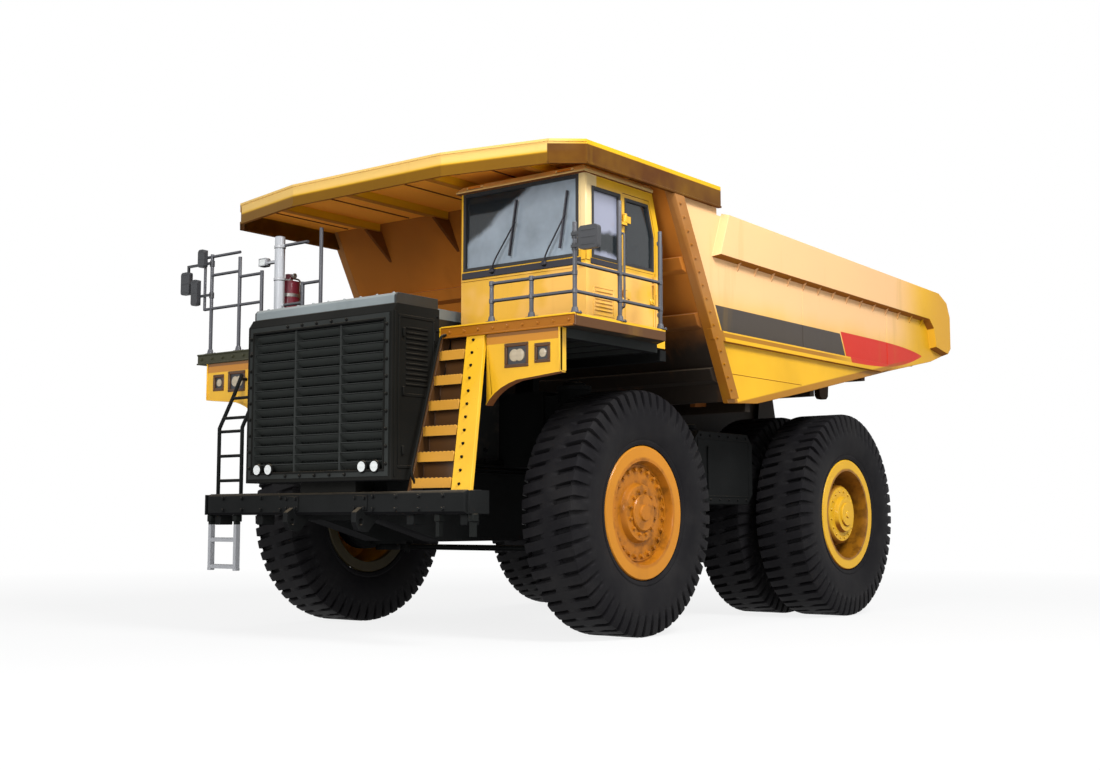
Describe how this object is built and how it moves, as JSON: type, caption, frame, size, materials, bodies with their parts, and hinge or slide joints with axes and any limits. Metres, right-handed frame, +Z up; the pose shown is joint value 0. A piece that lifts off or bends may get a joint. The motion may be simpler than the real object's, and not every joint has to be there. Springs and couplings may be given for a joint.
{
  "type": "mining dump truck",
  "caption": "Rigid-frame mining dump truck with steered front wheels, dual rear wheels, a side cab with a door, and a tipping dump body with canopy raised by telescopic hoists.",
  "frame": {"origin": "on the ground under the middle of the truck's bounding box", "axes": "+X to the truck's left, front faces -Y, +Z up"},
  "size_m": [6.36, 10.5, 5.0998],
  "materials": {
    "body_yellow": "satin",
    "bottle_red": "gloss",
    "console_plastic": "matte",
    "engine_iron": "matte",
    "frame_charcoal": "satin",
    "lamp_glass": "polished",
    "rail_grey": "satin",
    "rim_yellow": "satin",
    "rod_chrome": "polished",
    "seat_fabric": "matte",
    "tyre_black": "matte",
    "window_glass": "polished"
  },
  "bodies": {
    "chassis": {"main_frame": "frame_charcoal", "bumper": "frame_charcoal", "radiator_shell": "frame_charcoal", "grille": "frame_charcoal", "engine_block": "engine_iron", "hood": "body_yellow", "decks": "body_yellow", "left_fender": "body_yellow", "right_fender": "body_yellow", "stairs": "body_yellow", "boarding_ladders": "frame_charcoal", "handrails": "rail_grey", "cab_floor": "body_yellow", "cab_front": "body_yellow", "cab_rear": "body_yellow", "cab_left": "body_yellow", "cab_right": "body_yellow", "cab_roof": "body_yellow", "cab_glass": "window_glass", "operator_seat": "seat_fabric", "operator_console": "console_plastic", "mirrors": "frame_charcoal", "fire_bottle": "bottle_red", "headlamps": "lamp_glass", "fuel_tank": "frame_charcoal", "hydraulic_tank": "frame_charcoal", "suspension_struts": "frame_charcoal", "rear_axle": "frame_charcoal", "rear_suspension": "frame_charcoal"},
    "cab_door": {"cab_door": "body_yellow", "door_glass": "window_glass"},
    "left_knuckle": {"left_knuckle": "frame_charcoal"},
    "right_knuckle": {"right_knuckle": "frame_charcoal"},
    "left_front_wheel": {"left_front_rim": "rim_yellow", "left_front_tyre": "tyre_black"},
    "right_front_wheel": {"right_front_rim": "rim_yellow", "right_front_tyre": "tyre_black"},
    "tie_rod": {"tie_rod": "frame_charcoal"},
    "left_rear_wheels": {"left_rear_rims": "rim_yellow", "left_rear_tyres": "tyre_black"},
    "right_rear_wheels": {"right_rear_rims": "rim_yellow", "right_rear_tyres": "tyre_black"},
    "dump_body": {"body_floor": "body_yellow", "body_front": "body_yellow", "body_left": "body_yellow", "body_right": "body_yellow", "canopy": "body_yellow", "rock_ejectors": "frame_charcoal"},
    "left_hoist_barrel": {"left_hoist_barrel": "frame_charcoal"},
    "left_hoist_stage": {"left_hoist_stage": "rod_chrome"},
    "left_hoist_rod": {"left_hoist_rod": "rod_chrome"},
    "right_hoist_barrel": {"right_hoist_barrel": "frame_charcoal"},
    "right_hoist_stage": {"right_hoist_stage": "rod_chrome"},
    "right_hoist_rod": {"right_hoist_rod": "rod_chrome"}
  },
  "joints": [
    {"name": "left_steer", "type": "hinge", "parent": "chassis", "child": "left_knuckle", "pos_m": [1.45, -2.65, 1.26], "axis": [0, 0, 1], "range_deg": [-30, 30]},
    {"name": "right_steer", "type": "hinge", "parent": "chassis", "child": "right_knuckle", "pos_m": [-1.45, -2.65, 1.26], "axis": [0, 0, 1], "range_deg": [-30, 30]},
    {"name": "tie_rod_shift", "type": "slide", "parent": "chassis", "child": "tie_rod", "axis": [1, 0, 0], "range_m": [-0.18, 0.18]},
    {"name": "left_front_roll", "type": "hinge", "parent": "left_knuckle", "child": "left_front_wheel", "pos_m": [2.085, -2.65, 1.33], "axis": [1, 0, 0], "continuous": true},
    {"name": "right_front_roll", "type": "hinge", "parent": "right_knuckle", "child": "right_front_wheel", "pos_m": [-2.085, -2.65, 1.33], "axis": [1, 0, 0], "continuous": true},
    {"name": "left_rear_roll", "type": "hinge", "parent": "chassis", "child": "left_rear_wheels", "pos_m": [1.788, 1.92, 1.33], "axis": [1, 0, 0], "continuous": true},
    {"name": "right_rear_roll", "type": "hinge", "parent": "chassis", "child": "right_rear_wheels", "pos_m": [-1.788, 1.92, 1.33], "axis": [1, 0, 0], "continuous": true},
    {"name": "bed_tilt", "type": "hinge", "parent": "chassis", "child": "dump_body", "pos_m": [0, 3.3, 2.35], "axis": [-1, 0, 0], "range_deg": [0, 45]},
    {"name": "cab_door_swing", "type": "hinge", "parent": "chassis", "child": "cab_door", "pos_m": [2.486, -3.115, 4], "axis": [0, 0, -1], "range_deg": [0, 60]},
    {"name": "left_hoist_swing", "type": "hinge", "parent": "chassis", "child": "left_hoist_barrel", "pos_m": [0.8, 0.3, 0.9], "axis": [-1, 0, 0], "range_deg": [0, 22]},
    {"name": "left_hoist_stage_slide", "type": "slide", "parent": "left_hoist_barrel", "child": "left_hoist_stage", "axis": [0, -0.1738, 0.9848], "range_m": [0, 1.19]},
    {"name": "left_hoist_rod_slide", "type": "slide", "parent": "left_hoist_stage", "child": "left_hoist_rod", "axis": [0, -0.1738, 0.9848], "range_m": [0, 1.19]},
    {"name": "right_hoist_swing", "type": "hinge", "parent": "chassis", "child": "right_hoist_barrel", "pos_m": [-0.8, 0.3, 0.9], "axis": [-1, 0, 0], "range_deg": [0, 22]},
    {"name": "right_hoist_stage_slide", "type": "slide", "parent": "right_hoist_barrel", "child": "right_hoist_stage", "axis": [0, -0.1738, 0.9848], "range_m": [0, 1.19]},
    {"name": "right_hoist_rod_slide", "type": "slide", "parent": "right_hoist_stage", "child": "right_hoist_rod", "axis": [0, -0.1738, 0.9848], "range_m": [0, 1.19]}
  ],
  "couplings": [
    {"joint": "right_steer", "follows": "left_steer", "ratio": 1},
    {"joint": "tie_rod_shift", "follows": "left_steer", "m_per_rad": -0.331},
    {"joint": "left_hoist_swing", "follows": "bed_tilt", "ratio": 0.488},
    {"joint": "left_hoist_stage_slide", "follows": "bed_tilt", "m_per_rad": 1.5126},
    {"joint": "left_hoist_rod_slide", "follows": "bed_tilt", "m_per_rad": 1.5126},
    {"joint": "right_hoist_swing", "follows": "bed_tilt", "ratio": 0.488},
    {"joint": "right_hoist_stage_slide", "follows": "bed_tilt", "m_per_rad": 1.5126},
    {"joint": "right_hoist_rod_slide", "follows": "bed_tilt", "m_per_rad": 1.5126}
  ]
}
